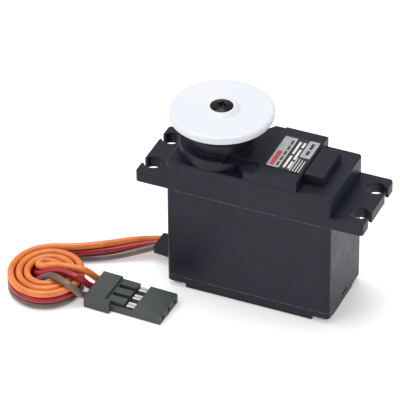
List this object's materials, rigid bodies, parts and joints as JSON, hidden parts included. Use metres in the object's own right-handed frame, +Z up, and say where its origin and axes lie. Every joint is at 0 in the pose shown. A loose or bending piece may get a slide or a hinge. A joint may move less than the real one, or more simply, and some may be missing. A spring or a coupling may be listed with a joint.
{
  "type": "servo motor",
  "caption": "Flanged servo motor: a small boxed gearmotor that turns a round horn to a set angle, with a flat coiled lead ending in a plug.",
  "frame": {"origin": "centre of the case's underside, where it stands, midway between its two ends and its two sides", "axes": "+X along the case, away from the lead and the output shaft; +Z up along the output shaft, towards the horn; +Y across the case so that the frame is right-handed"},
  "size_m": [0.0809, 0.042, 0.0456],
  "materials": {
    "case_plastic": "satin moulded black with a blue cast",
    "label_film": "printed metallic film",
    "horn_plastic": "white moulded, soft gloss",
    "screw_black": "black oxide, glossy",
    "screw_steel": "zinc plated",
    "pin_steel": "ground",
    "bearing_steel": "polished",
    "cage_brass": "pressed",
    "bush_brass": "sintered bronze",
    "gear_nylon": "natural nylon",
    "gear_brass": "machined",
    "output_metal": "machined",
    "motor_steel": "nickel plated",
    "motor_magnet": "sintered ferrite",
    "motor_copper": "enamelled copper and laminations",
    "motor_cap": "natural",
    "contact_tin": "tin plated",
    "sensor_plastic": "moulded",
    "board_green": "solder mask",
    "board_parts": "moulded",
    "relief_rubber": "matt",
    "wire_signal": "soft vinyl",
    "wire_power": "soft vinyl",
    "wire_ground": "translucent soft vinyl",
    "plug_plastic": "moulded dark grey-green"
  },
  "bodies": {
    "housing": {"bottom_cover": "case_plastic", "middle_case": "case_plastic", "upper_case": "case_plastic", "case_screws": "screw_steel", "idler_pin": "pin_steel", "upper_pin": "pin_steel", "shaft_bush": "bush_brass", "bearing_outer_ring": "bearing_steel", "motor_can": "motor_steel", "motor_magnets": "motor_magnet", "motor_end_cap": "motor_cap", "motor_brushes": "motor_magnet", "motor_terminals": "contact_tin", "motor_screws": "screw_steel", "potentiometer_body": "sensor_plastic", "potentiometer_pins": "contact_tin", "circuit_board": "board_green", "board_components": "board_parts", "label_plate": "label_film", "strain_relief": "relief_rubber", "signal_wire_near": "wire_signal", "power_wire_near": "wire_power", "ground_wire_near": "wire_ground", "signal_wire_far": "wire_signal", "power_wire_far": "wire_power", "ground_wire_far": "wire_ground", "lead_coil": "wire_signal", "plug_housing": "plug_plastic", "plug_contacts": "contact_tin"},
    "output": {"output_gear": "output_metal", "bearing_inner_ring": "bearing_steel", "potentiometer_shaft": "pin_steel", "horn": "horn_plastic", "horn_screw": "screw_black"},
    "bearing_cage": {"bearing_balls": "bearing_steel", "bearing_cage": "cage_brass"},
    "third_gear": {"third_gear": "gear_nylon"},
    "second_gear": {"second_gear": "gear_nylon"},
    "first_gear": {"first_gear": "gear_nylon"},
    "motor_rotor": {"motor_armature": "motor_copper", "motor_shaft": "pin_steel", "motor_commutator": "motor_copper", "motor_pinion": "gear_brass"}
  },
  "joints": [
    {"name": "output_turn", "type": "hinge", "parent": "housing", "child": "output", "pos_m": [-0.0101, 0, 0.03], "axis": [0, 0, 1], "range_deg": [-60, 60]},
    {"name": "cage_turn", "type": "hinge", "parent": "housing", "child": "bearing_cage", "pos_m": [-0.0101, 0, 0.03], "axis": [0, 0, 1], "range_deg": [-30, 30]},
    {"name": "third_gear_turn", "type": "hinge", "parent": "housing", "child": "third_gear", "pos_m": [0.0001, 0, 0.03], "axis": [0, 0, 1], "range_deg": [-150, 150]},
    {"name": "second_gear_turn", "type": "hinge", "parent": "housing", "child": "second_gear", "pos_m": [0.0097, 0, 0.03], "axis": [0, 0, 1], "range_deg": [-440, 440]},
    {"name": "first_gear_turn", "type": "hinge", "parent": "housing", "child": "first_gear", "pos_m": [0.0001, 0, 0.03], "axis": [0, 0, 1], "range_deg": [-1300, 1300]},
    {"name": "motor_turn", "type": "hinge", "parent": "housing", "child": "motor_rotor", "pos_m": [0.0097, 0, 0.03], "axis": [0, 0, 1], "range_deg": [-3900, 3900]}
  ],
  "couplings": [
    {"joint": "cage_turn", "follows": "output_turn", "ratio": 0.39},
    {"joint": "third_gear_turn", "follows": "output_turn", "ratio": -2.4},
    {"joint": "second_gear_turn", "follows": "output_turn", "ratio": 7.2},
    {"joint": "first_gear_turn", "follows": "output_turn", "ratio": -21.6},
    {"joint": "motor_turn", "follows": "output_turn", "ratio": 64.8}
  ]
}
